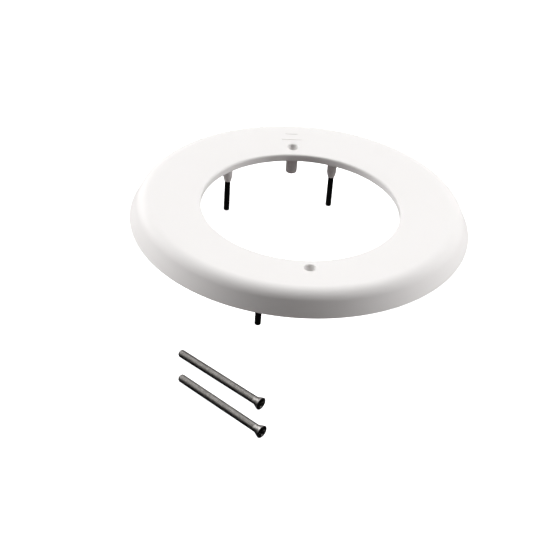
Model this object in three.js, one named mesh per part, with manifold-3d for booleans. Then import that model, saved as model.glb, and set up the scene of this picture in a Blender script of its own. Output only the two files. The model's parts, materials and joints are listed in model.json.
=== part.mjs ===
// Face ring kit of an underwater pool light.
//
// A white moulded ring covers the front of the lamp. It stands here on the tips of its four
// studs, face up, with its two long retaining screws lying loose beside it.
// Millimetres, +Z up. The origin is on the surface it stands on, below the middle of its box.

import * as THREE from 'three';
import { mergeVertices } from 'three/addons/utils/BufferGeometryUtils.js';
import Module from 'manifold-3d';

// ---- Driving dimensions ------------------------------------------------------------------

// Ring section. Heights are above the rim, the lower edge of the skirt.
const RIM_RADIUS = 135;
const OPENING_RADIUS = 79;
const EDGE_HEIGHT = 12.6; // of the face at the opening
const CREST_RADIUS = 119.4; // where the rolled edge is highest
const CREST_HEIGHT = 17.3;
const ROLL_RADIUS = 11.3; // of the rolled edge
const SKIRT_LEAN = THREE.MathUtils.degToRad(26.5); // from the vertical
const WALL = 3;
const LIP_BOTTOM = 6.5;
const LIP_WALL = 2.6;
const EDGE_ROUND = 1.8;
const RING_STEPS = 72;

// Stiffening ribs under the face.
const RIB_COUNT = 12;
const RIB_THICKNESS = 2;
const RIB_BOTTOM = 7.4;

// Screw posts, one each side of the opening, for the retaining screws.
const POST_CIRCLE = 90.5;
const POST_RADIUS = 4.85;
const POST_BOTTOM = -10.1;
const POST_HOLE_RADIUS = 3.15;
const COUNTERSINK_RADIUS = 4.9;
const COUNTERSINK_DEPTH = 4.5;

// Stud bosses: a wide root round the insert, a slim stem and a tapered nose.
const STUD_CIRCLE = 93.8;
const BOSS_ROOT_RADIUS = 5.75;
const BOSS_STEM_RADIUS = 4;
const BOSS_NOSE_RADIUS = 3.2;
const BOSS_ROOT_BOTTOM = 1.5;
const BOSS_NOSE_TOP = -8;
const BOSS_BOTTOM = -12.2;

// Studs, M5 x 50, and the inserts that hold them.
const STUD_RADIUS = 2.45;
const STUD_LENGTH = 50;
const STUD_TIP = -41.2;
const STUD_TIP_FLAT = 1.5;
const STUD_CHAMFER = 0.9;
const INSERT_RADIUS = 3.7;
const INSERT_BORE = 2.6;
const INSERT_LENGTH = 8.6;
const INSERT_BOTTOM = 0.6;
const INSERT_GROOVE = 0.5;
const STUD_CLEARANCE = 0.3;
const INSERT_CLEARANCE = 0.25;

// Retaining screws, M6 x 80, with a slender countersunk head and a cross recess.
const SCREW_LENGTH = 80;
const SCREW_RADIUS = 2.95;
const HEAD_RADIUS = 4.7;
const HEAD_TAPER = 4.5; // length of the head's cone
const HEAD_RIM = 0.35;
const SCREW_CHAMFER = 0.9;
const RECESS_SPAN = 5;
const RECESS_WIDTH = 1.3;
const RECESS_DEPTH = 2.2;

// Raised marks on the face that show which way up the ring goes.
const MARK_WIDTH = 2.4;
const MARK_HEIGHT = 0.35;
const MARKS = [
  { radius: 102, length: 18 },
  { radius: 110.3, length: 10.5 },
];

// Where the studs stand, as angles from +Y, positive towards -X.
const STUDS = [
  { name: 'rear_left', angle: 35.9 },
  { name: 'rear_right', angle: -21.7 },
  { name: 'front_left', angle: 158 },
  { name: 'front_right', angle: -131 },
];

// Where the loose screws lie: the tail's place from the ring's axis, and the heading.
const SCREWS = [
  { name: 'retaining_screw_1', tail: [-93.1, -126.5], heading: -45.8 },
  { name: 'retaining_screw_2', tail: [-92.9, -154.2], heading: -46.7 },
];

const FINE_STEPS = 20; // round a boss, stud, insert or screw
const CUT_PAST = 1; // how far a cut runs past the surface it opens

// ---- Materials ---------------------------------------------------------------------------

const whitePlastic = new THREE.MeshStandardMaterial({ color: 0xf1f0ec, roughness: 0.28, metalness: 0 });
const blackSteel = new THREE.MeshStandardMaterial({ color: 0x0b0b0c, roughness: 0.45, metalness: 0.6 });
const brass = new THREE.MeshStandardMaterial({ color: 0xb08d4a, roughness: 0.35, metalness: 1 });
const stainless = new THREE.MeshStandardMaterial({ color: 0x9a9791, roughness: 0.35, metalness: 1 });

// ---- Solids and geometries ---------------------------------------------------------------

const wasm = await Module();
wasm.setup();

// A closed geometry as a solid: vertices that meet are merged and empty triangles dropped.
function solidOf(geometry) {
  const bare = geometry.clone();
  bare.deleteAttribute('normal');
  bare.deleteAttribute('uv');
  const merged = mergeVertices(bare, 1e-4);
  const corners = merged.index.array;
  const triangles = [];
  for (let i = 0; i < corners.length; i += 3) {
    const [a, b, c] = corners.slice(i, i + 3);
    if (a !== b && b !== c && c !== a) triangles.push(a, b, c);
  }
  return new wasm.Manifold(
    new wasm.Mesh({
      numProp: 3,
      vertProperties: new Float32Array(merged.attributes.position.array),
      triVerts: new Uint32Array(triangles),
    }),
  );
}

function geometryOf(solid) {
  const { vertProperties, triVerts } = solid.getMesh();
  const geometry = new THREE.BufferGeometry();
  geometry.setAttribute('position', new THREE.BufferAttribute(vertProperties, 3));
  geometry.setIndex(new THREE.BufferAttribute(triVerts, 1));
  geometry.computeVertexNormals();
  return geometry;
}

// A shape turned about +Z from its section, a list of [radius, height] going upwards outside.
function turned(section, steps) {
  const points = section.map(([radius, height]) => new THREE.Vector2(radius, height));
  return new THREE.LatheGeometry(points, steps).rotateX(Math.PI / 2);
}

// Points of an arc in the section plane, at angles from straight up, positive outwards.
function arc(centre, radius, from, to, steps) {
  const points = [];
  for (let i = 0; i <= steps; i += 1) {
    const angle = from + ((to - from) * i) / steps;
    points.push([centre[0] + radius * Math.sin(angle), centre[1] + radius * Math.cos(angle)]);
  }
  return points;
}

// A place on a circle about +Z, at an angle in degrees from +Y, positive towards -X.
function onCircle(radius, degrees) {
  const angle = THREE.MathUtils.degToRad(90 + degrees);
  return [radius * Math.cos(angle), radius * Math.sin(angle)];
}

// ---- Ring --------------------------------------------------------------------------------

// The rolled edge's centre, and the face's slope: a line from the opening that touches the roll.
const ROLL_CENTRE = [CREST_RADIUS, CREST_HEIGHT - ROLL_RADIUS];
const faceRun = ROLL_CENTRE[0] - OPENING_RADIUS;
const faceRise = EDGE_HEIGHT - ROLL_CENTRE[1];
const FACE_SLOPE = Math.asin(ROLL_RADIUS / Math.hypot(faceRun, faceRise)) - Math.atan2(faceRise, faceRun);
const SKIRT_ANGLE = Math.PI / 2 - SKIRT_LEAN;

function faceHeight(radius) {
  return EDGE_HEIGHT + (radius - OPENING_RADIUS) * Math.tan(FACE_SLOPE);
}

// Height of a surface that lies a depth below the face, square to it.
function underFace(radius, depth) {
  return faceHeight(radius) - depth / Math.cos(FACE_SLOPE);
}

// Radius of a surface that lies a depth inside the skirt, square to it.
function inSkirt(height, depth) {
  return RIM_RADIUS - height * Math.tan(SKIRT_LEAN) - depth / Math.cos(SKIRT_LEAN);
}

function ringShell() {
  const lipOuter = OPENING_RADIUS + LIP_WALL;
  const edgeCentre = [OPENING_RADIUS + EDGE_ROUND, underFace(OPENING_RADIUS + EDGE_ROUND, EDGE_ROUND)];
  const section = [
    [OPENING_RADIUS, LIP_BOTTOM],
    [lipOuter, LIP_BOTTOM],
    [lipOuter, underFace(lipOuter, WALL)],
    ...arc(ROLL_CENTRE, ROLL_RADIUS - WALL, -FACE_SLOPE, SKIRT_ANGLE, 4),
    [inSkirt(0, WALL), 0],
    [RIM_RADIUS, 0],
    ...arc(ROLL_CENTRE, ROLL_RADIUS, SKIRT_ANGLE, -FACE_SLOPE, 6),
    ...arc(edgeCentre, EDGE_ROUND, -FACE_SLOPE, -Math.PI / 2, 3),
    [OPENING_RADIUS, LIP_BOTTOM],
  ];
  return turned(section, RING_STEPS);
}

// One rib's outline runs through the middle of the shell's walls, so that it joins all of them.
function rib(index) {
  const half = WALL / 2;
  const start = OPENING_RADIUS + LIP_WALL / 2;
  const outline = [
    [start, RIB_BOTTOM],
    [inSkirt(RIB_BOTTOM, half), RIB_BOTTOM],
    ...arc(ROLL_CENTRE, ROLL_RADIUS - half, SKIRT_ANGLE, -FACE_SLOPE, 3),
    [start, underFace(start, half)],
  ];
  const shape = new THREE.Shape(outline.map(([x, y]) => new THREE.Vector2(x, y)));
  const plate = new THREE.ExtrudeGeometry(shape, { depth: RIB_THICKNESS, bevelEnabled: false });
  plate.translate(0, 0, -RIB_THICKNESS / 2).rotateX(Math.PI / 2);
  return plate.rotateZ(((index + 0.5) * 2 * Math.PI) / RIB_COUNT);
}

function studBoss(angle) {
  const [x, y] = onCircle(STUD_CIRCLE, angle);
  const section = [
    [0, BOSS_BOTTOM],
    [BOSS_NOSE_RADIUS, BOSS_BOTTOM],
    [BOSS_STEM_RADIUS, BOSS_NOSE_TOP],
    [BOSS_STEM_RADIUS, BOSS_ROOT_BOTTOM - (BOSS_ROOT_RADIUS - BOSS_STEM_RADIUS)],
    [BOSS_ROOT_RADIUS, BOSS_ROOT_BOTTOM],
    [BOSS_ROOT_RADIUS, underFace(STUD_CIRCLE, WALL / 2)],
    [0, underFace(STUD_CIRCLE, WALL / 2)],
  ];
  return turned(section, FINE_STEPS).translate(x, y, 0);
}

// The room inside a boss: the insert's pocket, and the stud's way out of it.
function bossPocket(angle) {
  const [x, y] = onCircle(STUD_CIRCLE, angle);
  const way = STUD_RADIUS + STUD_CLEARANCE;
  const pocket = INSERT_RADIUS + INSERT_CLEARANCE;
  const floor = INSERT_BOTTOM - INSERT_CLEARANCE;
  const roof = INSERT_BOTTOM + INSERT_LENGTH + INSERT_CLEARANCE;
  const section = [
    [0, BOSS_BOTTOM - CUT_PAST],
    [way, BOSS_BOTTOM - CUT_PAST],
    [way, floor],
    [pocket, floor],
    [pocket, roof],
    [0, roof],
  ];
  return turned(section, FINE_STEPS).translate(x, y, 0);
}

function screwPost(angle) {
  const [x, y] = onCircle(POST_CIRCLE, angle);
  const top = underFace(POST_CIRCLE, WALL / 2);
  const section = [
    [0, POST_BOTTOM],
    [POST_RADIUS, POST_BOTTOM],
    [POST_RADIUS, top],
    [0, top],
  ];
  return turned(section, FINE_STEPS).translate(x, y, 0);
}

// The through hole with its slender countersink, which opens to its full radius at the face.
function postHole(angle) {
  const [x, y] = onCircle(POST_CIRCLE, angle);
  const face = faceHeight(POST_CIRCLE);
  const section = [
    [0, POST_BOTTOM - CUT_PAST],
    [POST_HOLE_RADIUS, POST_BOTTOM - CUT_PAST],
    [POST_HOLE_RADIUS, face - COUNTERSINK_DEPTH],
    [COUNTERSINK_RADIUS, face],
    [COUNTERSINK_RADIUS + CUT_PAST, face + CUT_PAST],
    [0, face + CUT_PAST],
  ];
  return turned(section, FINE_STEPS).translate(x, y, 0);
}

function faceMark({ radius, length }) {
  const depth = WALL / 2;
  const bar = new THREE.BoxGeometry(length, MARK_WIDTH, MARK_HEIGHT + depth);
  bar.translate(0, 0, (MARK_HEIGHT - depth) / 2).rotateX(FACE_SLOPE);
  return bar.translate(0, radius, faceHeight(radius));
}

function faceRing() {
  let ring = solidOf(ringShell());
  for (let i = 0; i < RIB_COUNT; i += 1) ring = ring.add(solidOf(rib(i)));
  for (const { angle } of STUDS) ring = ring.add(solidOf(studBoss(angle)));
  for (const angle of [0, 180]) ring = ring.add(solidOf(screwPost(angle)));
  for (const mark of MARKS) ring = ring.add(solidOf(faceMark(mark)));
  for (const { angle } of STUDS) ring = ring.subtract(solidOf(bossPocket(angle)));
  for (const angle of [0, 180]) ring = ring.subtract(solidOf(postHole(angle)));
  return geometryOf(ring);
}

// ---- Studs and inserts -------------------------------------------------------------------

function stud() {
  const section = [
    [0, 0],
    [STUD_TIP_FLAT, 0],
    [STUD_RADIUS, STUD_CHAMFER],
    [STUD_RADIUS, STUD_LENGTH - STUD_CHAMFER],
    [STUD_TIP_FLAT, STUD_LENGTH],
    [0, STUD_LENGTH],
  ];
  return turned(section, FINE_STEPS);
}

function threadedInsert() {
  const third = INSERT_LENGTH / 3;
  const section = [
    [INSERT_BORE, 0],
    [INSERT_RADIUS, 0],
    [INSERT_RADIUS, third],
    [INSERT_RADIUS - INSERT_GROOVE, third + INSERT_GROOVE],
    [INSERT_RADIUS - INSERT_GROOVE, 2 * third - INSERT_GROOVE],
    [INSERT_RADIUS, 2 * third],
    [INSERT_RADIUS, INSERT_LENGTH],
    [INSERT_BORE, INSERT_LENGTH],
    [INSERT_BORE, 0],
  ];
  return turned(section, FINE_STEPS);
}

// ---- Retaining screws --------------------------------------------------------------------

// Upright, with its tail at the origin.
function retainingScrew() {
  const shoulder = SCREW_LENGTH - HEAD_RIM;
  const section = [
    [0, 0],
    [SCREW_RADIUS - SCREW_CHAMFER, 0],
    [SCREW_RADIUS, SCREW_CHAMFER],
    [SCREW_RADIUS, shoulder - HEAD_TAPER],
    [HEAD_RADIUS, shoulder],
    [HEAD_RADIUS, SCREW_LENGTH],
    [0, SCREW_LENGTH],
  ];
  let screw = solidOf(turned(section, FINE_STEPS));
  for (const turn of [0, Math.PI / 2]) {
    const slot = new THREE.BoxGeometry(RECESS_SPAN, RECESS_WIDTH, 2 * RECESS_DEPTH);
    screw = screw.subtract(solidOf(slot.rotateZ(turn).translate(0, 0, SCREW_LENGTH)));
  }
  return geometryOf(screw);
}

// Lays a screw down on the floor: it rests on its head's rim and on its tail.
function layDown(screw, { tail, heading }, floor) {
  const run = SCREW_LENGTH - HEAD_RIM - SCREW_CHAMFER;
  const tilt = Math.asin((HEAD_RADIUS - SCREW_RADIUS) / run);
  const turn = THREE.MathUtils.degToRad(heading);
  const axis = new THREE.Vector3(
    Math.cos(tilt) * Math.cos(turn),
    Math.cos(tilt) * Math.sin(turn),
    Math.sin(tilt),
  );
  screw.quaternion.setFromUnitVectors(new THREE.Vector3(0, 0, 1), axis);
  screw.position.set(tail[0], tail[1], 0);
  const lowest = new THREE.Box3().setFromObject(screw, true).min.z;
  screw.position.z = floor - lowest;
}

// ---- Assembly ----------------------------------------------------------------------------

function node(name, geometry, material) {
  const mesh = new THREE.Mesh(geometry, material);
  mesh.name = name;
  return mesh;
}

const part = new THREE.Group();
part.add(node('face_ring', faceRing(), whitePlastic));

for (const { name, angle } of STUDS) {
  const [x, y] = onCircle(STUD_CIRCLE, angle);
  const studNode = node(`${name}_stud`, stud(), blackSteel);
  studNode.position.set(x, y, STUD_TIP);
  const insertNode = node(`${name}_insert`, threadedInsert(), brass);
  insertNode.position.set(x, y, INSERT_BOTTOM);
  part.add(studNode, insertNode);
}

for (const place of SCREWS) {
  const screwNode = node(place.name, retainingScrew(), stainless);
  layDown(screwNode, place, STUD_TIP);
  part.add(screwNode);
}

// Bring the origin to the floor, below the middle of the box.
const box = new THREE.Box3().setFromObject(part, true);
const middle = box.getCenter(new THREE.Vector3());
part.position.set(-middle.x, -middle.y, -box.min.z);
part.updateMatrixWorld(true);

export default part;
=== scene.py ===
"""Face ring kit of an underwater pool light: the white moulded ring on its four black studs, the
brass inserts inside its bosses and the two loose retaining screws, on a pale studio floor."""

import json
import math

import bmesh
import bpy
import numpy as np
from bpy.props import FloatProperty, FloatVectorProperty, IntProperty, PointerProperty
from mathutils import Matrix, Vector


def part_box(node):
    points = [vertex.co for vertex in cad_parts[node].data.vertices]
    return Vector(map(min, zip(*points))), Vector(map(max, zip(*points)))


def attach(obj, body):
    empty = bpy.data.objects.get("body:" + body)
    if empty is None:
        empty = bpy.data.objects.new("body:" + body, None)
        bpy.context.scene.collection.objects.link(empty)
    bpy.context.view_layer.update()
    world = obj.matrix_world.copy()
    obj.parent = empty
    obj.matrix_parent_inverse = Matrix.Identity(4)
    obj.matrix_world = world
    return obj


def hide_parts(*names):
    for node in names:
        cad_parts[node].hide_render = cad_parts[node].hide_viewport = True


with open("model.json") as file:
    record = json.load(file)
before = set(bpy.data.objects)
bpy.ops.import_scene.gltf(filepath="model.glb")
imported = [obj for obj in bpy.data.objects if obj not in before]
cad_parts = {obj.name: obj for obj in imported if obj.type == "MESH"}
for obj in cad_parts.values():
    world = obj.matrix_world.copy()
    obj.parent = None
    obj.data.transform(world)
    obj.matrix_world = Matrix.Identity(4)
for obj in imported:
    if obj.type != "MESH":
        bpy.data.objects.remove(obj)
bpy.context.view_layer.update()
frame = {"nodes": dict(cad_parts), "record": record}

bl_info = {
    "name": "Pool light face ring",
    "version": (1, 0, 0),
    "blender": (4, 5, 0),
    "location": "3D View > Sidebar > Pool light",
    "description": "Builds the face ring of an underwater pool light with its studs and screws",
    "category": "Add Mesh",
}

MM = 0.001


# ---- Places, read from the frame ---------------------------------------------------------------

STUDS = ("rear_left", "rear_right", "front_left", "front_right")
SCREWS = ("1", "2")


def mount_point(name):
    """The point of one of the record's mounts."""
    for mount in frame["record"]["mounts"]:
        if mount["name"] == name:
            return Vector(mount["pos_m"])
    raise ValueError(f"the record has no mount named {name}")


def box_middle(node):
    """The middle of a CAD node's box."""
    low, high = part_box(node)
    return (low + high) / 2


def axis_of(node):
    """Tail, direction and length of a long turned node, from its vertices."""
    points = np.array([v.co for v in frame["nodes"][node].data.vertices])
    centre = points.mean(0)
    direction = np.linalg.svd(points - centre, full_matrices=False)[2][0]
    along = (points - centre) @ direction
    away = np.linalg.norm(points - centre - np.outer(along, direction), axis=1)
    if along[away.argmax()] < 0:
        direction, along = -direction, -along
    return Vector(centre + direction * along.min()), Vector(direction), float(np.ptp(along))


RING_LOW, RING_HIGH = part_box("face_ring")
RING_AXIS = box_middle("face_ring").to_2d()
RIM_LEVEL = mount_point("rim_seat").z
POST_OFFSET = (mount_point("rear_post_end") - mount_point("front_post_end")).y / 2


# ---- Sizes and colours a user would change -----------------------------------------------------


def srgb(code):
    """Linear colour of an sRGB hex code."""
    channels = [int(code[i:i + 2], 16) / 255 for i in (1, 3, 5)]
    return [c / 12.92 if c <= 0.04045 else ((c + 0.055) / 1.055) ** 2.4 for c in channels]


def length(name, description, millimetres):
    """A length property whose default is given in millimetres."""
    return FloatProperty(name=name, description=description, default=millimetres * MM,
                         unit="LENGTH", subtype="DISTANCE", precision=5)


def angle(name, description, degrees):
    """An angle property whose default is given in degrees."""
    return FloatProperty(name=name, description=description, default=math.radians(degrees),
                         unit="ROTATION", subtype="ANGLE")


def colour(name, description, code):
    """A colour property whose default is an sRGB hex code."""
    return FloatVectorProperty(name=name, description=description, default=srgb(code),
                               subtype="COLOR", min=0, max=1)


class RingSizes(bpy.types.PropertyGroup):
    """Section of the ring, with heights above the lower edge of its skirt"""
    opening: length("Opening radius", "Radius of the opening for the lamp", 79)
    edge: length("Edge height", "Height of the face at the opening", 12.58)
    edge_round: length("Edge rounding", "Radius that eases the face into the opening", 1.8)
    roll: length("Roll radius", "Radius of the rolled edge", 11.3)
    lean: angle("Skirt lean", "Lean of the skirt from the vertical", 26.5)
    slope: angle("Face slope", "Rise of the face from the opening to the rolled edge", 6.7)
    wall: length("Wall", "Thickness of the face and the skirt", 3)
    lip: length("Lip wall", "Thickness of the lip round the opening", 2.6)
    lip_bottom: length("Lip bottom", "Height of the lip's lower edge", 6.5)
    ribs: IntProperty(name="Ribs", description="Number of stiffening ribs", default=12, min=0)
    rib_wall: length("Rib wall", "Thickness of a rib", 2)
    rib_bottom: length("Rib bottom", "Height of the ribs' lower edges", 7.4)
    post: length("Post radius", "Outer radius of a screw post", 4.85)
    post_hole: length("Post hole", "Radius of the hole through a post", 3.15)
    countersink: length("Countersink", "Radius of the countersink at the face", 4.9)
    countersink_depth: length("Countersink depth", "Depth of the countersink's cone", 4.5)
    boss_root: length("Boss root", "Radius of a stud boss round its insert", 5.75)
    boss_stem: length("Boss stem", "Radius of a stud boss below its root", 4)
    boss_nose: length("Boss nose", "Radius of a stud boss where the stud leaves it", 2.95)
    boss_taper: length("Boss taper", "Length of the taper from a boss's stem to its nose", 4.5)
    mark: length("Mark height", "How far the raised marks stand off the face", 0.3)


class HardwareSizes(bpy.types.PropertyGroup):
    """Studs, inserts and screws"""
    stud: length("Stud radius", "Outer radius of a stud's thread", 2.5)
    stud_pitch: length("Stud pitch", "Distance from one turn of a stud's thread to the next", 0.8)
    stud_depth: length("Stud thread depth", "Depth of a stud's thread", 0.35)
    tip: length("Stud tip", "Length of the rounded end of a stud", 1.1)
    screw: length("Screw radius", "Outer radius of a retaining screw's thread", 2.94)
    screw_pitch: length("Screw pitch", "Distance from one turn of a screw's thread to the next", 1)
    screw_depth: length("Screw thread depth", "Depth of a screw's thread", 0.4)
    head: length("Head radius", "Radius of a retaining screw's head", 4.66)
    head_taper: length("Head taper", "Length of the cone under the head's rim", 4.5)
    head_rim: length("Head rim", "Height of the head's straight rim", 0.35)
    recess: length("Recess radius", "Reach of the cross recess from the middle of the head", 2.9)
    recess_depth: length("Recess depth", "Depth of the cross recess", 2.9)
    insert: length("Insert radius", "Outer radius of an insert over its knurling", 3.7)
    insert_bore: length("Insert bore", "Radius inside an insert's thread", 2.56)


class Finishes(bpy.types.PropertyGroup):
    """Colours of the materials"""
    plastic: colour("Moulding", "White of the ring", "#F4F2F1")
    plastic_shade: colour("Moulding shade", "Slightly deeper white that clouds the moulding", "#F1EFED")
    black: colour("Black oxide", "Black of the studs", "#040404")
    black_rub: colour("Rubbed black", "Black of the studs where it is rubbed on the crests", "#0D0C0C")
    steel: colour("Stainless steel", "Colour of the retaining screws", "#E2DFDB")
    # Painted shade: the darker colour that the screws get down in their thread roots.
    steel_painted_shade: colour("Steel in the thread", "Colour of the screws down in their thread", "#8C8986")
    brass: colour("Brass", "Colour of the inserts", "#C9A35B")
    floor: colour("Floor", "Colour of the studio floor", "#FAFAFA")


class StageSizes(bpy.types.PropertyGroup):
    """Camera, floor and lights"""
    azimuth: angle("Azimuth", "How far the camera stands round from the front, to the right", -5.96)
    elevation: angle("Elevation", "How far the camera stands above the level", 34.88)
    roll: angle("Roll", "How far the camera is turned on its own axis", 4.46)
    distance: length("Distance", "From the camera to the point it looks at", 884.5)
    aim: FloatVectorProperty(name="Aim", description="Point looked at, from the ring's axis at its rim",
                             default=(-21.17 * MM, -86.78 * MM, 0), subtype="TRANSLATION")
    lens: FloatProperty(name="Lens", description="Focal length in millimetres", default=77.3)
    floor_radius: length("Floor radius", "Radius of the studio floor", 6000)


# ---- Outlines ----------------------------------------------------------------------------------

STRAIGHT = math.radians(89.5)  # half the angle at a corner from which it is left as it is
STEPS_RADIUS = 2 * MM  # an arc of a larger radius than this gets more steps
ON_AXIS = 1e-7  # a point closer than this to Z, in metres, is on it


def filleted(points, steps=4):
    """A closed outline of (x, y, fillet radius) corners, each turned into an arc of its radius."""
    outline = []
    for i, (x, y, radius) in enumerate(points):
        corner = Vector((x, y))
        back = (Vector(points[i - 1][:2]) - corner).normalized()
        ahead = (Vector(points[(i + 1) % len(points)][:2]) - corner).normalized()
        half = back.angle(ahead) / 2
        if radius == 0 or half > STRAIGHT:
            outline.append(corner)
            continue
        centre = corner + (back + ahead).normalized() * radius / math.sin(half)
        start = corner + back * radius / math.tan(half) - centre
        turn = start.angle_signed(corner + ahead * radius / math.tan(half) - centre)
        count = max(steps, round(radius * steps / STEPS_RADIUS))
        for j in range(count + 1):
            spin = -turn * j / count
            outline.append(centre + Matrix.Rotation(spin, 2) @ start)
    return outline


def around(radius, spin, height):
    """The point at a radius from Z, an angle round it and a height."""
    return radius * math.cos(spin), radius * math.sin(spin), height


def band(bm, low, high):
    """Faces between two closed loops of as many vertices."""
    for i in range(len(low)):
        j = (i + 1) % len(low)
        bm.faces.new((low[i], low[j], high[j], high[i]))


def turned(bm, outline, steps):
    """Turns a closed outline of (radius, height) about Z. Corners on the axis stay one point."""
    columns = []
    for i in range(steps):
        spin = 2 * math.pi * i / steps
        column = []
        for j, (radius, height) in enumerate(outline):
            if radius < ON_AXIS and i:
                column.append(columns[0][j])
            else:
                column.append(bm.verts.new(around(radius, spin, height)))
        columns.append(column)
    for i in range(steps):
        here, there = columns[i], columns[(i + 1) % steps]
        for j in range(len(outline)):
            k = (j + 1) % len(outline)
            corners = []
            for vert in (here[j], there[j], there[k], here[k]):
                if vert not in corners:
                    corners.append(vert)
            if len(corners) > 2:
                bm.faces.new(corners)


def extruded(bm, outline, depth):
    """A prism of a closed outline, from 0 to depth along Z."""
    low = [bm.verts.new((x, y, 0)) for x, y in outline]
    high = [bm.verts.new((x, y, depth)) for x, y in outline]
    bm.faces.new(low)
    bm.faces.new(high)
    band(bm, low, high)


# ---- Meshes and objects ------------------------------------------------------------------------

SHARP_EDGE = math.radians(35)  # an edge that turns by more than this stays sharp


def solid(name, build, *values, place=None):
    """A new object whose mesh a build function makes, with its faces turned outwards."""
    bm = bmesh.new()
    build(bm, *values)
    bmesh.ops.recalc_face_normals(bm, faces=bm.faces)
    if place is not None:
        bm.transform(place)
    mesh = bpy.data.meshes.new(name)
    bm.to_mesh(mesh)
    bm.free()
    piece = bpy.data.objects.new(name, mesh)
    bpy.context.scene.collection.objects.link(piece)
    return piece


def combine(piece, tool, operation):
    """Joins a tool to a piece, cuts it out or keeps what they share. The tool is used up."""
    change = piece.modifiers.new("combine", "BOOLEAN")
    change.operation = operation
    change.solver = "MANIFOLD"
    change.object = tool
    bpy.context.view_layer.update()
    graph = bpy.context.evaluated_depsgraph_get()
    result = bpy.data.meshes.new_from_object(piece.evaluated_get(graph))
    piece.modifiers.clear()
    before = piece.data
    piece.data = result
    bpy.data.meshes.remove(before)
    bpy.data.meshes.remove(tool.data)
    if not result.polygons:
        raise RuntimeError(f"{piece.name} has nothing left after {operation}")


def finished(piece, material, body, node):
    """Shades a piece, gives it its material and puts it in the CAD node's place on its body."""
    piece.data.materials.clear()
    piece.data.materials.append(material)
    piece.data.shade_smooth()
    piece.data.set_sharp_from_angle(angle=SHARP_EDGE)
    weighted = piece.modifiers.new("weighted normals", "WEIGHTED_NORMAL")
    weighted.keep_sharp = True
    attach(piece, body)
    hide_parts(node)


# ---- Face ring ---------------------------------------------------------------------------------

RING_STEPS = 288
ROUND_STEPS = 48
EDGE_EASE = 0.4 * MM  # radius of the ring's small edges
RIM_EASE = 0.5 * MM  # radius of the skirt's lower outer edge
WALL_FILLET = 1 * MM  # radius inside, where a wall meets another
PAST = 1 * MM  # how far a cutting tool reaches past what it cuts
RIB_ROOM_DEPTH = 5 * MM  # how far below the rim ribs could run
RIB_TOP = 25 * MM  # a rib's upper end, before it is cut to the walls
RIB_DRAFT = 0.15 * MM  # how much thicker each side of a rib is up there
RIB_EASE = 0.5 * MM  # radius of a rib's lower edges
BOSS_SHOULDER = 1.5 * MM  # height above the rim at which a boss has its full root
POST_EASE = 1.4 * MM  # radius of a post's lower edge
POST_CHAMFER = 0.3 * MM  # of a post's hole at its lower end
SINK_EASE = 0.6 * MM  # radius at both ends of the countersink's cone
INSERT_GAP = 0.05 * MM  # clearance round an insert and its stud


class Section:
    """The ring's section, worked out from its sizes."""

    def __init__(self, sizes):
        self.sizes = sizes
        self.rim = (RING_HIGH.x - RING_LOW.x) / 2

    def face(self, radius, depth=0):
        """Height of the face, or of what lies a depth square below it."""
        rise = (radius - self.sizes.opening) * math.tan(self.sizes.slope)
        return self.sizes.edge + rise - depth / math.cos(self.sizes.slope)

    def skirt(self, height, depth=0):
        """Radius of the skirt, or of what lies a depth square inside it."""
        return self.rim - height * math.tan(self.sizes.lean) - depth / math.cos(self.sizes.lean)

    def roll_corner(self, depth):
        """Where the face and the skirt would meet if the edge were not rolled."""
        slope, lean = math.tan(self.sizes.slope), math.tan(self.sizes.lean)
        base = self.face(0, depth)
        radius = (self.skirt(0, depth) - base * lean) / (1 + slope * lean)
        return radius, base + radius * slope

    def shell(self):
        """Outline of the lip, the face, the rolled edge and the skirt."""
        sizes = self.sizes
        inner, outer = self.roll_corner(sizes.wall), self.roll_corner(0)
        lip = sizes.opening + sizes.lip
        return filleted([
            (sizes.opening, sizes.lip_bottom, EDGE_EASE),
            (lip, sizes.lip_bottom, EDGE_EASE),
            (lip, self.face(lip, sizes.wall), WALL_FILLET),
            (*inner, sizes.roll - sizes.wall),
            (self.skirt(0, sizes.wall), 0, EDGE_EASE),
            (self.rim, 0, RIM_EASE),
            (*outer, sizes.roll),
            (sizes.opening, sizes.edge, sizes.edge_round),
        ])

    def room(self):
        """Outline of what lies below the middle of the walls, where ribs may run."""
        middle = self.sizes.wall / 2
        start = self.sizes.opening + self.sizes.lip / 2
        return filleted([
            (start, -RIB_ROOM_DEPTH, 0),
            (self.skirt(-RIB_ROOM_DEPTH, middle), -RIB_ROOM_DEPTH, 0),
            (*self.roll_corner(middle), self.sizes.roll - middle),
            (start, self.face(start, middle), 0),
        ])


def ribs(bm, sizes, section):
    """Ribs with rounded lower edges, as bars that reach past the walls."""
    half = sizes.rib_wall / 2
    outline = filleted([
        (-half, sizes.rib_bottom, RIB_EASE),
        (half, sizes.rib_bottom, RIB_EASE),
        (half + RIB_DRAFT, RIB_TOP, 0),
        (-half - RIB_DRAFT, RIB_TOP, 0),
    ])
    reach = section.rim - sizes.opening
    # Lays the bar's length along X from the opening, with its outline's height upwards.
    stand = Matrix(((0, 0, 1, sizes.opening), (1, 0, 0, 0), (0, 1, 0, 0), (0, 0, 0, 1)))
    for i in range(sizes.ribs):
        bar = bmesh.new()
        extruded(bar, outline, reach)
        bar.transform(Matrix.Rotation((i + 0.5) * 2 * math.pi / sizes.ribs, 4, "Z") @ stand)
        mesh = bpy.data.meshes.new("rib")
        bar.to_mesh(mesh)
        bar.free()
        bm.from_mesh(mesh)
        bpy.data.meshes.remove(mesh)


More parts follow.
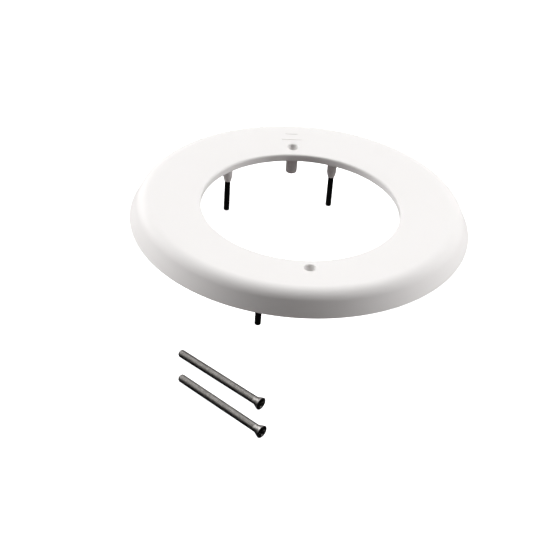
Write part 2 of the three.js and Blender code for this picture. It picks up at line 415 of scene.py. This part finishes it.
def boss_outline(sizes, section, radius):
    """A stud boss: tapered nose, slim stem and a wider root round the insert."""
    bottom = RING_LOW.z - RIM_LEVEL
    top = section.face(radius, sizes.wall / 2)
    return filleted([
        (0, bottom, 0),
        (sizes.boss_nose, bottom, 0.3 * MM),
        (sizes.boss_stem, bottom + sizes.boss_taper, 3 * MM),
        (sizes.boss_stem, BOSS_SHOULDER + sizes.boss_stem - sizes.boss_root, WALL_FILLET),
        (sizes.boss_root, BOSS_SHOULDER, WALL_FILLET),
        (sizes.boss_root, top, 0),
        (0, top, 0),
    ])


def boss_room(hardware):
    """The way out for the stud, and the pocket that the insert is moulded into."""
    low, high = (corner.z - RIM_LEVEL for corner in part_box("rear_left_insert"))
    way, pocket = hardware.stud + INSERT_GAP, hardware.insert + INSERT_GAP
    bottom = RING_LOW.z - RIM_LEVEL
    return filleted([
        (0, bottom - PAST, 0),
        (way, bottom - PAST, 0),
        (way, low - INSERT_GAP, 0),
        (pocket, low - INSERT_GAP, 0),
        (pocket, high + INSERT_GAP, 0),
        (0, high + INSERT_GAP, 0),
    ])


def post_outline(sizes, section):
    """A screw post, from its lower end up into the face."""
    bottom = mount_point("rear_post_end").z - RIM_LEVEL
    top = section.face(POST_OFFSET, sizes.wall / 2)
    return filleted([
        (0, bottom, 0),
        (sizes.post, bottom, POST_EASE),
        (sizes.post, top, 0),
        (0, top, 0),
    ])


def post_room(sizes, section):
    """The screw's hole, with a countersink whose rim is eased where it meets the face."""
    bottom = mount_point("rear_post_end").z - RIM_LEVEL
    face = section.face(POST_OFFSET)
    sink = sizes.countersink
    return filleted([
        (0, bottom - PAST, 0),
        (sizes.post_hole + POST_CHAMFER + PAST, bottom - PAST, 0),
        (sizes.post_hole, bottom + POST_CHAMFER, 0),
        (sizes.post_hole, face - sizes.countersink_depth, SINK_EASE),
        (sink, face, SINK_EASE),
        (sink + 2 * PAST, face + PAST, 0),
        (sink + 2 * PAST, face + 4 * PAST, 0),
        (0, face + 4 * PAST, 0),
    ])


MARKS = ((102 * MM, 18 * MM), (110.3 * MM, 10.5 * MM))  # distance from the ring's axis, length
MARK_WIDTH = 2.4 * MM
MARK_EASE = 0.15 * MM  # how far a mark's upper edge is bevelled
MARK_FOOT = 1 * MM  # how deep a mark's foot is sunk into the face
MARK_END = 0.98  # radius of a mark's ends over half its width, just short of meeting in a point


def mark_bar(bm, span, width, height):
    """A raised bar with rounded ends and eased edges, its foot sunk into the face."""
    half, end = span / 2, width / 2
    corners = ((-half, -end), (half, -end), (half, end), (-half, end))
    outline = filleted([(x, y, end * MARK_END) for x, y in corners], steps=6)
    loops = []
    for z, inset in ((-MARK_FOOT, 0), (height - MARK_EASE, 0), (height, MARK_EASE)):
        scale_x, scale_y = (half - inset) / half, (end - inset) / end
        loops.append([bm.verts.new((x * scale_x, y * scale_y, z)) for x, y in outline])
    bm.faces.new(loops[0])
    bm.faces.new(loops[-1])
    for low, high in zip(loops, loops[1:]):
        band(bm, low, high)


# The ejector pins' marks under the face, between the ribs.
EJECTOR_CIRCLE = 106 * MM
EJECTOR_RADIUS = 3 * MM
EJECTOR_DEPTH = 0.2 * MM


class POOL_OT_face_ring(bpy.types.Operator):
    """Builds the moulded ring with its rolled edge, lip, ribs, bosses and posts"""
    bl_idname = "pool_light.face_ring"
    bl_label = "Face ring"

    def execute(self, context):
        sizes, hardware = context.scene.pool_ring, context.scene.pool_hardware
        section = Section(sizes)
        ring = solid("face_ring_moulding", turned, section.shell(), RING_STEPS)
        bars = solid("ribs", ribs, sizes, section)
        combine(bars, solid("room", turned, section.room(), RING_STEPS), "INTERSECT")
        combine(ring, bars, "UNION")
        places = [box_middle(name + "_stud").to_2d() - RING_AXIS for name in STUDS]
        for place in places:
            spot = Matrix.Translation((*place, 0))
            outline = boss_outline(sizes, section, place.length)
            combine(ring, solid("boss", turned, outline, ROUND_STEPS, place=spot), "UNION")
        posts = [Matrix.Translation((0, side * POST_OFFSET, 0)) for side in (-1, 1)]
        for spot in posts:
            outline = post_outline(sizes, section)
            combine(ring, solid("post", turned, outline, ROUND_STEPS, place=spot), "UNION")
        for radius, span in MARKS:
            tilt = Matrix.Rotation(sizes.slope, 4, "X")
            spot = Matrix.Translation((0, radius, section.face(radius))) @ tilt
            bar = solid("mark", mark_bar, span, MARK_WIDTH, sizes.mark, place=spot)
            combine(ring, bar, "UNION")
        for place in places:
            spot = Matrix.Translation((*place, 0))
            room = boss_room(hardware)
            combine(ring, solid("room", turned, room, ROUND_STEPS, place=spot), "DIFFERENCE")
        for spot in posts:
            room = post_room(sizes, section)
            combine(ring, solid("room", turned, room, ROUND_STEPS, place=spot), "DIFFERENCE")
        for i in range(sizes.ribs):
            turn = Matrix.Rotation(i * 2 * math.pi / sizes.ribs, 4, "Z")
            top = section.face(EJECTOR_CIRCLE, sizes.wall - EJECTOR_DEPTH)
            tilt = Matrix.Rotation(-sizes.slope, 4, "Y")
            spot = turn @ Matrix.Translation((EJECTOR_CIRCLE, 0, top)) @ tilt
            pin = [(0, -2 * PAST), (EJECTOR_RADIUS, -2 * PAST), (EJECTOR_RADIUS, 0), (0, 0)]
            combine(ring, solid("pin", turned, pin, ROUND_STEPS, place=spot), "DIFFERENCE")
        ring.location = (*RING_AXIS, RIM_LEVEL)
        finished(ring, moulded_white(context.scene.pool_finishes), "face", "face_ring")
        return {"FINISHED"}


# ---- Studs, inserts and screws -----------------------------------------------------------------

THREAD_STEPS = 32
THREAD_CORNERS = ((1 / 16, 0), (3 / 8, 1), (5 / 8, 1), (15 / 16, 0))  # share of a turn and of the depth
SPARE_TURNS = 2  # turns of thread past each end, before it is cut to length
CUT_NEARNESS = 1e-8  # a vertex this close to a cut, in metres, lies on it
END_FLAT = 1.3 * MM  # radius of the flat on a stud's or screw's rounded end
SCREW_END = 1.8 * MM  # length of a screw's rounded end
SCREW_NECK = 1.5 * MM  # smooth neck under the cone of a screw's head
THREAD_STOP = 1 * MM  # how far under the head's cone the thread ends, inside the neck


def threaded_shaft(bm, radius, pitch, depth, shaft_length, limit):
    """A thread with flat crests and roots from 0 to a length, held inside limit(height)."""
    turns = math.ceil(shaft_length / pitch) + 2 * SPARE_TURNS
    rows = []
    for i in range(turns * THREAD_STEPS):
        spin = 2 * math.pi * i / THREAD_STEPS
        row = []
        for turn, sunk in THREAD_CORNERS:
            z = pitch * (i / THREAD_STEPS + turn - SPARE_TURNS)
            reach = min(radius - sunk * depth, limit(z))
            row.append(bm.verts.new(around(reach, spin, z)))
        rows.append(row)
    for i in range(len(rows) - 1):
        here, there = list(rows[i]), list(rows[i + 1])
        if i + 1 + THREAD_STEPS < len(rows):
            here.append(rows[i + THREAD_STEPS][0])
            there.append(rows[i + 1 + THREAD_STEPS][0])
        for k in range(len(here) - 1):
            bm.faces.new((here[k], there[k], there[k + 1], here[k + 1]))
    for height, side in ((0, -1), (shaft_length, 1)):
        cut = bmesh.ops.bisect_plane(bm, geom=bm.verts[:] + bm.edges[:] + bm.faces[:],
                                     dist=CUT_NEARNESS, plane_co=(0, 0, height),
                                     plane_no=(0, 0, side), clear_outer=True)
        rim = [e for e in cut["geom_cut"] if isinstance(e, bmesh.types.BMEdge)]
        bmesh.ops.edgeloop_fill(bm, edges=rim)


def rounded_end(radius, flat, size):
    """Radius of a rounded end at a height above its flat, and the full radius past it."""
    def limit(height):
        if height >= size:
            return radius
        share = 1 - max(height, 0) / size
        return flat + (radius - flat) * math.sqrt(max(1 - share * share, 0))
    return limit


def both_ends(end, size):
    """The limit of a shaft of a size that is rounded alike at both ends."""
    def limit(height):
        return min(end(height), end(size - height))
    return limit


def note_crests(piece, radius, depth):
    """Stores how far up the thread each vertex of an upright piece is: 0 in the root, 1 on the crest."""
    crest = piece.data.attributes.new("crest", "FLOAT", "POINT")
    for vertex, value in zip(piece.data.vertices, crest.data):
        away = math.hypot(vertex.co.x, vertex.co.y)
        value.value = min(max((away - radius + depth) / depth, 0), 1)


class POOL_OT_studs(bpy.types.Operator):
    """Builds the four threaded studs"""
    bl_idname = "pool_light.studs"
    bl_label = "Studs"

    def execute(self, context):
        hardware = context.scene.pool_hardware
        material = black_oxide(context.scene.pool_finishes)
        thread = (hardware.stud, hardware.stud_pitch, hardware.stud_depth)
        end = rounded_end(hardware.stud, END_FLAT, hardware.tip)
        for name in STUDS:
            node = name + "_stud"
            low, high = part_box(node)
            size = high.z - low.z
            stud = solid(node + "_thread", threaded_shaft, *thread, size, both_ends(end, size))
            note_crests(stud, hardware.stud, hardware.stud_depth)
            stud.location = (*box_middle(node).to_2d(), low.z)
            finished(stud, material, node, node)
        return {"FINISHED"}


KNURL_STEPS = 60
KNURL_DEPTH = 0.35 * MM
KNURL_END = 0.25 * MM  # how far the knurling runs out at an insert's ends
KNURL_RUNOUT = 0.3 * MM  # and beside the groove
BORE_CHAMFER = 0.4 * MM


def knurled_insert(bm, hardware, height):
    """A brass bush: two knurled bands, a groove between them, and a bore with a chamfer."""
    third = height / 3
    crest, root = hardware.insert, hardware.insert - KNURL_DEPTH
    bore, mouth = hardware.insert_bore, hardware.insert_bore + BORE_CHAMFER
    # Height, and the radii between which the vertices take turns.
    sections = (
        (0, root, root),
        (KNURL_END, root, crest),
        (third - KNURL_RUNOUT, root, crest),
        (third, root, root),
        (2 * third, root, root),
        (2 * third + KNURL_RUNOUT, root, crest),
        (height - KNURL_END, root, crest),
        (height, root, root),
        (height, mouth, mouth),
        (height - BORE_CHAMFER, bore, bore),
        (BORE_CHAMFER, bore, bore),
        (0, mouth, mouth),
    )
    loops = []
    for level, *radii in sections:
        spins = [2 * math.pi * i / KNURL_STEPS for i in range(KNURL_STEPS)]
        loops.append([bm.verts.new(around(radii[i % 2], spin, level)) for i, spin in enumerate(spins)])
    for low, high in zip(loops, loops[1:] + loops[:1]):
        band(bm, low, high)


class POOL_OT_inserts(bpy.types.Operator):
    """Builds the four threaded inserts that sit inside the stud bosses"""
    bl_idname = "pool_light.inserts"
    bl_label = "Inserts"

    def execute(self, context):
        hardware = context.scene.pool_hardware
        material = turned_brass(context.scene.pool_finishes)
        for name in STUDS:
            node = name + "_insert"
            low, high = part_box(node)
            insert = solid(node + "_bush", knurled_insert, hardware, high.z - low.z)
            insert.location = (*box_middle(node).to_2d(), low.z)
            finished(insert, material, "face", node)
        return {"FINISHED"}


def head_outline(hardware, top):
    """A countersunk head on its smooth neck, from the end of the thread up to its flat top."""
    shoulder = top - hardware.head_rim
    neck = shoulder - hardware.head_taper
    return filleted([
        (0, neck - SCREW_NECK, 0),
        (hardware.screw, neck - SCREW_NECK, 0.2 * MM),
        (hardware.screw, neck, 2 * MM),
        (hardware.head, shoulder, 0.15 * MM),
        (hardware.head, top, 0.12 * MM),
        (0, top, 0),
    ])


# The cross recess: half the width of a wing at its end and at its foot, and where the foot lies.
WING_END, WING_FOOT, WING_START = 0.52 * MM, 0.66 * MM, 1.25 * MM
RECESS_ABOVE = 0.4 * MM  # how far its outline is carried on above the head
RECESS_POINT = 0.5 * MM  # how far its point lies below the ends of the wings


def cross_recess(bm, hardware, top):
    """A cross that narrows as it goes down and ends in a blunt point."""
    # Height, and the wings' reach and thickness as shares of those at the head's top.
    levels = ((RECESS_ABOVE, 1.06, 1), (-hardware.recess_depth, 0.45, 0.75))
    loops = []
    for z, reach, thickness in levels:
        span, half = hardware.recess * reach, WING_END * thickness
        inner, wide = WING_START * (reach + 0.35) / 1.4, WING_FOOT * thickness
        quarter = [(span, -half), (span, half), (inner, wide), (wide, inner)]
        loop = []
        for turn in range(4):
            spin = Matrix.Rotation(-turn * math.pi / 2, 2)
            loop += [bm.verts.new((*(spin @ Vector(point)), top + z)) for point in quarter]
        loops.append(loop)
    low_point = bm.verts.new((0, 0, top - hardware.recess_depth - RECESS_POINT))
    upper, lower = loops
    bm.faces.new(upper)
    for i in range(len(upper)):
        j = (i + 1) % len(upper)
        bm.faces.new((upper[i], upper[j], lower[j], lower[i]))
        bm.faces.new((lower[i], lower[j], low_point))


class POOL_OT_retaining_screws(bpy.types.Operator):
    """Builds the two long countersunk screws where they lie"""
    bl_idname = "pool_light.retaining_screws"
    bl_label = "Retaining screws"

    def execute(self, context):
        hardware = context.scene.pool_hardware
        material = rolled_stainless(context.scene.pool_finishes)
        thread = (hardware.screw, hardware.screw_pitch, hardware.screw_depth)
        end = rounded_end(hardware.screw, END_FLAT, SCREW_END)
        for number in SCREWS:
            node = "retaining_screw_" + number
            tail, direction, size = axis_of(node)
            shaft = size - hardware.head_rim - hardware.head_taper - THREAD_STOP
            screw = solid(node + "_thread", threaded_shaft, *thread, shaft, end)
            combine(screw, solid("head", turned, head_outline(hardware, size), ROUND_STEPS), "UNION")
            combine(screw, solid("recess", cross_recess, hardware, size), "DIFFERENCE")
            note_crests(screw, hardware.screw, hardware.screw_depth)
            screw.data.transform(direction.to_track_quat("Z", "Y").to_matrix().to_4x4())
            screw.location = tail
            finished(screw, material, "screw_" + number, node)
        return {"FINISHED"}


# ---- Materials ---------------------------------------------------------------------------------


def add(tree, kind, inputs=None, **settings):
    """Adds a node with its settings. An input is a value, or another node's output to link."""
    node = tree.nodes.new(kind)
    for name, value in settings.items():
        setattr(node, name, value)
    for name, value in (inputs or {}).items():
        socket = node.inputs[name]
        if isinstance(value, bpy.types.NodeSocket):
            tree.links.new(value, socket)
        else:
            socket.default_value = value
    return node


def new_material(name):
    """An empty node material, and its tree."""
    material = bpy.data.materials.new(name)
    material.use_nodes = True
    material.node_tree.nodes.clear()
    return material, material.node_tree


def rgba(value):
    """A colour with full alpha."""
    return (*value, 1)


WAVE_PERIODS = 20 / (2 * math.pi)  # of a wave texture, in one unit at a scale of 1


def per_mm(millimetres):
    """Texture scale that gives features of a size in millimetres, in object coordinates."""
    return 1 / (millimetres * MM)


def moulded_white(finishes):
    """ABS, injection moulded in a polished tool: an even white with a soft gloss, and the tool's turning
    marks as faint concentric ripples that only show where a light is reflected. The marks of a tool are
    tenths of a millimetre apart, too fine to show, and are drawn 5 mm apart. The specular level is set
    lower than this plastic's own."""
    material, tree = new_material("ABS injection moulded")
    place = add(tree, "ShaderNodeTexCoord").outputs["Object"]
    clouds = add(tree, "ShaderNodeTexNoise", {
        "Vector": place, "Scale": per_mm(90), "Detail": 8, "Roughness": 0.75})
    white = add(tree, "ShaderNodeMix", {0: clouds.outputs["Fac"], 6: rgba(finishes.plastic_shade),
                                        7: rgba(finishes.plastic)}, data_type="RGBA")
    smudge = add(tree, "ShaderNodeTexNoise", {
        "Vector": place, "Scale": per_mm(40), "Detail": 6, "Roughness": 0.7})
    gloss = add(tree, "ShaderNodeMapRange", {
        "Value": smudge.outputs["Fac"], "To Min": 0.38, "To Max": 0.46})
    rings = add(tree, "ShaderNodeTexWave", {
        "Vector": place, "Scale": per_mm(5) / WAVE_PERIODS, "Distortion": 0.4, "Detail": 1},
        wave_type="RINGS", rings_direction="Z", wave_profile="SIN")
    ripple = add(tree, "ShaderNodeBump", {
        "Height": rings.outputs["Fac"], "Strength": 1, "Distance": 0.004 * MM})
    shader = add(tree, "ShaderNodeBsdfPrincipled", {
        "Base Color": white.outputs[2], "Roughness": gloss.outputs["Result"],
        "Normal": ripple.outputs["Normal"], "IOR": 1.53, "Specular IOR Level": 0.3})
    add(tree, "ShaderNodeOutputMaterial", {"Surface": shader.outputs["BSDF"]})
    return material


def black_oxide(finishes):
    """Steel, thread rolled and blackened: a deep matt black, a little rubbed on the crests."""
    material, tree = new_material("Steel blackened")
    place = add(tree, "ShaderNodeTexCoord").outputs["Object"]
    crest = add(tree, "ShaderNodeAttribute", attribute_name="crest").outputs["Fac"]
    grime = add(tree, "ShaderNodeTexNoise", {"Vector": place, "Scale": per_mm(1.5), "Detail": 4})
    rub = add(tree, "ShaderNodeMath", {0: crest, 1: grime.outputs["Fac"]}, operation="MULTIPLY")
    black = add(tree, "ShaderNodeMix", {
        0: rub.outputs[0], 6: rgba(finishes.black), 7: rgba(finishes.black_rub)}, data_type="RGBA")
    rough = add(tree, "ShaderNodeMapRange", {
        "Value": grime.outputs["Fac"], "To Min": 0.45, "To Max": 0.65})
    shader = add(tree, "ShaderNodeBsdfPrincipled", {
        "Base Color": black.outputs[2], "Roughness": rough.outputs["Result"], "Specular IOR Level": 0.15})
    add(tree, "ShaderNodeOutputMaterial", {"Surface": shader.outputs["BSDF"]})
    return material


def rolled_stainless(finishes):
    """Stainless steel, thread rolled: grey and satin, patchy with scuffs on the crests, with painted
    shade down in the thread, where the colour is darker. Real scuffs are too fine to show and are drawn
    coarser, at 1.4 mm."""
    material, tree = new_material("Stainless steel rolled")
    place = add(tree, "ShaderNodeTexCoord").outputs["Object"]
    crest = add(tree, "ShaderNodeAttribute", attribute_name="crest").outputs["Fac"]
    scuff = add(tree, "ShaderNodeTexNoise", {"Vector": place, "Scale": per_mm(1.4), "Detail": 4})
    worn = add(tree, "ShaderNodeMapRange", {
        "Value": scuff.outputs["Fac"], "From Min": 0.4, "From Max": 0.6, "To Min": 0.3, "To Max": 1.0})
    # Mask of the painted shade: 0 down in the thread roots, rising to the crests, patchy where the scuffs
    # are.
    share = add(tree, "ShaderNodeMath", {0: crest, 1: worn.outputs["Result"]}, operation="MULTIPLY")
    steel = add(tree, "ShaderNodeMix", {
        0: share.outputs[0], 6: rgba(finishes.steel_painted_shade), 7: rgba(finishes.steel)}, data_type="RGBA")
    rough = add(tree, "ShaderNodeMapRange", {
        "Value": scuff.outputs["Fac"], "To Min": 0.28, "To Max": 0.4})
    marks = add(tree, "ShaderNodeBump", {
        "Height": scuff.outputs["Fac"], "Strength": 0.5, "Distance": 0.05 * MM})
    shader = add(tree, "ShaderNodeBsdfPrincipled", {
        "Base Color": steel.outputs[2], "Metallic": 1.0, "Roughness": rough.outputs["Result"],
        "Normal": marks.outputs["Normal"]})
    add(tree, "ShaderNodeOutputMaterial", {"Surface": shader.outputs["BSDF"]})
    return material


def turned_brass(finishes):
    """Brass, turned and knurled: warm yellow with fine turning marks round it."""
    material, tree = new_material("Brass turned")
    place = add(tree, "ShaderNodeTexCoord").outputs["Object"]
    turning = add(tree, "ShaderNodeTexWave", {
        "Vector": place, "Scale": per_mm(0.25) / WAVE_PERIODS, "Detail": 2},
        wave_type="BANDS", bands_direction="Z")
    rough = add(tree, "ShaderNodeMapRange", {
        "Value": turning.outputs["Fac"], "To Min": 0.25, "To Max": 0.4})
    shader = add(tree, "ShaderNodeBsdfPrincipled", {
        "Base Color": rgba(finishes.brass), "Metallic": 1.0, "Roughness": rough.outputs["Result"]})
    add(tree, "ShaderNodeOutputMaterial", {"Surface": shader.outputs["BSDF"]})
    return material


def matt_floor(finishes):
    """Painted board, rolled matt: plain and pale, with a trace of unevenness."""
    material, tree = new_material("Painted board matt")
    place = add(tree, "ShaderNodeTexCoord").outputs["Object"]
    uneven = add(tree, "ShaderNodeTexNoise", {"Vector": place, "Scale": per_mm(400), "Detail": 1})
    rough = add(tree, "ShaderNodeMapRange", {
        "Value": uneven.outputs["Fac"], "To Min": 0.85, "To Max": 0.95})
    shader = add(tree, "ShaderNodeBsdfPrincipled", {
        "Base Color": rgba(finishes.floor), "Roughness": rough.outputs["Result"],
        "Specular IOR Level": 0.1, "Emission Color": rgba(finishes.floor), "Emission Strength": 1.02})
    add(tree, "ShaderNodeOutputMaterial", {"Surface": shader.outputs["BSDF"]})
    return material


# ---- Stage -------------------------------------------------------------------------------------


def disc(bm, radius):
    """A round flat sheet."""
    bmesh.ops.create_circle(bm, cap_ends=True, radius=radius, segments=96)


# Name, degrees round from the front and above the level, width and height in metres, power in watts,
# and whether glossy surfaces mirror it. Real softboxes all would be mirrored, but then the upper edges
# of the screws glare, so only the strip is.
SOFTBOXES = (
    ("top softbox", 180, 75, (3.2, 1.6), 7, False),
    ("back softbox", 180, 46, (3.2, 1.6), 10, False),
    ("back right softbox", 135, 48, (1.6, 1.6), 22, False),
    ("back left softbox", -120, 32, (1.6, 1.2), 19, False),
    ("back left strip", -135, 22, (1.2, 0.8), 4, True),
    ("right softbox", 82, 12, (1.4, 1.0), 30, False),
    ("left softbox", -94, 4, (1.2, 1.0), 30, False),
)
SOFTBOX_DISTANCE = 2.0  # metres
# The room as matt and as glossy surfaces see it: its strength below and above, and the heights of a
# direction of length 1 between which it changes.
ROOM_ON_MATT = (0.17, 0.02, -0.2, 0.2)
ROOM_ON_GLOSSY = (0, 1.3, 0, 0.95)
ROOM_TINT = "#FFEFF0"  # of the light that matt surfaces get from the room
SENSOR_WIDTH = 36  # millimetres
CLIP_NEAR, CLIP_FAR = 0.01, 50  # metres


def bearing(azimuth, elevation):
    """The direction of what stands round from the front and above the level."""
    out = math.cos(elevation)
    return Vector((math.sin(azimuth) * out, -math.cos(azimuth) * out, math.sin(elevation)))


def softbox(name, aim, azimuth, elevation, size, power, mirrored):
    """A rectangular soft light that faces its aim."""
    light = bpy.data.lights.new(name, "AREA")
    light.shape = "RECTANGLE"
    light.size, light.size_y = size
    light.energy = power
    lamp = bpy.data.objects.new(name, light)
    lamp.visible_glossy = mirrored
    bpy.context.scene.collection.objects.link(lamp)
    toward = bearing(math.radians(azimuth), math.radians(elevation))
    lamp.location = aim + toward * SOFTBOX_DISTANCE
    lamp.rotation_euler = toward.to_track_quat("Z", "Y").to_euler()


def camera(stage):
    """The camera, rolled about its own axis."""
    lens = bpy.data.cameras.new("camera")
    lens.lens = stage.lens
    lens.sensor_width = SENSOR_WIDTH
    lens.clip_start = CLIP_NEAR
    lens.clip_end = CLIP_FAR
    piece = bpy.data.objects.new("camera", lens)
    bpy.context.scene.collection.objects.link(piece)
    back = bearing(stage.azimuth, stage.elevation)
    aim = Vector((*RING_AXIS, RIM_LEVEL)) + Vector(stage.aim)
    level = back.to_track_quat("Z", "Y").to_matrix().to_4x4()
    stand = Matrix.Translation(aim + back * stage.distance)
    piece.matrix_world = stand @ level @ Matrix.Rotation(stage.roll, 4, "Z")
    bpy.context.scene.camera = piece


def studio_world():
    world = bpy.data.worlds.new("studio")
    world.use_nodes = True
    tree = world.node_tree
    tree.nodes.clear()
    rays = add(tree, "ShaderNodeLightPath").outputs
    toward = add(tree, "ShaderNodeTexCoord").outputs["Generated"]
    height = add(tree, "ShaderNodeSeparateXYZ", {"Vector": toward}).outputs["Z"]
    rooms = []
    for below, above, low, high in (ROOM_ON_MATT, ROOM_ON_GLOSSY):
        graded = add(tree, "ShaderNodeMapRange", {
            "Value": height, "From Min": low, "From Max": high, "To Min": below, "To Max": above})
        rooms.append(graded.outputs["Result"])
    room = add(tree, "ShaderNodeMapRange", {
        "Value": rays["Is Glossy Ray"], "To Min": rooms[0], "To Max": rooms[1]})
    strength = add(tree, "ShaderNodeMapRange", {
        "Value": rays["Is Camera Ray"], "To Min": room.outputs["Result"], "To Max": 1.0})
    tint = add(tree, "ShaderNodeMix", {
        0: rays["Is Diffuse Ray"], 6: (1, 1, 1, 1), 7: rgba(srgb(ROOM_TINT))}, data_type="RGBA")
    light = add(tree, "ShaderNodeBackground", {
        "Color": tint.outputs[2], "Strength": strength.outputs["Result"]})
    add(tree, "ShaderNodeOutputWorld", {"Surface": light.outputs["Background"]})
    return world


class POOL_OT_stage(bpy.types.Operator):
    """Sets the floor, the lights and the camera"""
    bl_idname = "pool_light.stage"
    bl_label = "Stage"

    def execute(self, context):
        scene = context.scene
        stage = scene.pool_stage
        floor = solid("floor", disc, stage.floor_radius)
        floor.data.materials.append(matt_floor(scene.pool_finishes))
        floor.visible_diffuse = False
        floor.visible_glossy = False
        aim = Vector((*RING_AXIS, RIM_LEVEL))
        for name, *values in SOFTBOXES:
            softbox(name, aim, *values)
        scene.world = studio_world()
        scene.view_settings.view_transform = "Standard"
        camera(stage)
        return {"FINISHED"}


# ---- Panel and registration --------------------------------------------------------------------

OPERATORS = (POOL_OT_face_ring, POOL_OT_studs, POOL_OT_inserts, POOL_OT_retaining_screws, POOL_OT_stage)
GROUPS = {"pool_ring": RingSizes, "pool_hardware": HardwareSizes, "pool_finishes": Finishes,
          "pool_stage": StageSizes}


class POOL_PT_panel(bpy.types.Panel):
    bl_idname = "POOL_PT_panel"
    bl_label = "Pool light face ring"
    bl_space_type = "VIEW_3D"
    bl_region_type = "UI"
    bl_category = "Pool light"

    def draw(self, context):
        for operator in OPERATORS:
            self.layout.operator(operator.bl_idname)
        for name, group in GROUPS.items():
            box = self.layout.box()
            box.label(text=group.__doc__)
            for field in group.__annotations__:
                box.prop(getattr(context.scene, name), field)


def register():
    """Adds the properties, the operators and the panel."""
    for group in GROUPS.values():
        bpy.utils.register_class(group)
    for name, group in GROUPS.items():
        setattr(bpy.types.Scene, name, PointerProperty(type=group))
    for operator in OPERATORS:
        bpy.utils.register_class(operator)
    bpy.utils.register_class(POOL_PT_panel)


def unregister():
    """Takes them away again."""
    bpy.utils.unregister_class(POOL_PT_panel)
    for operator in reversed(OPERATORS):
        bpy.utils.unregister_class(operator)
    for name, group in GROUPS.items():
        delattr(bpy.types.Scene, name)
        bpy.utils.unregister_class(group)


def main():
    register()
    for operator in (bpy.ops.pool_light.stage, bpy.ops.pool_light.face_ring, bpy.ops.pool_light.studs,
                     bpy.ops.pool_light.inserts, bpy.ops.pool_light.retaining_screws):
        operator()


if __name__ == "__main__":
    main()
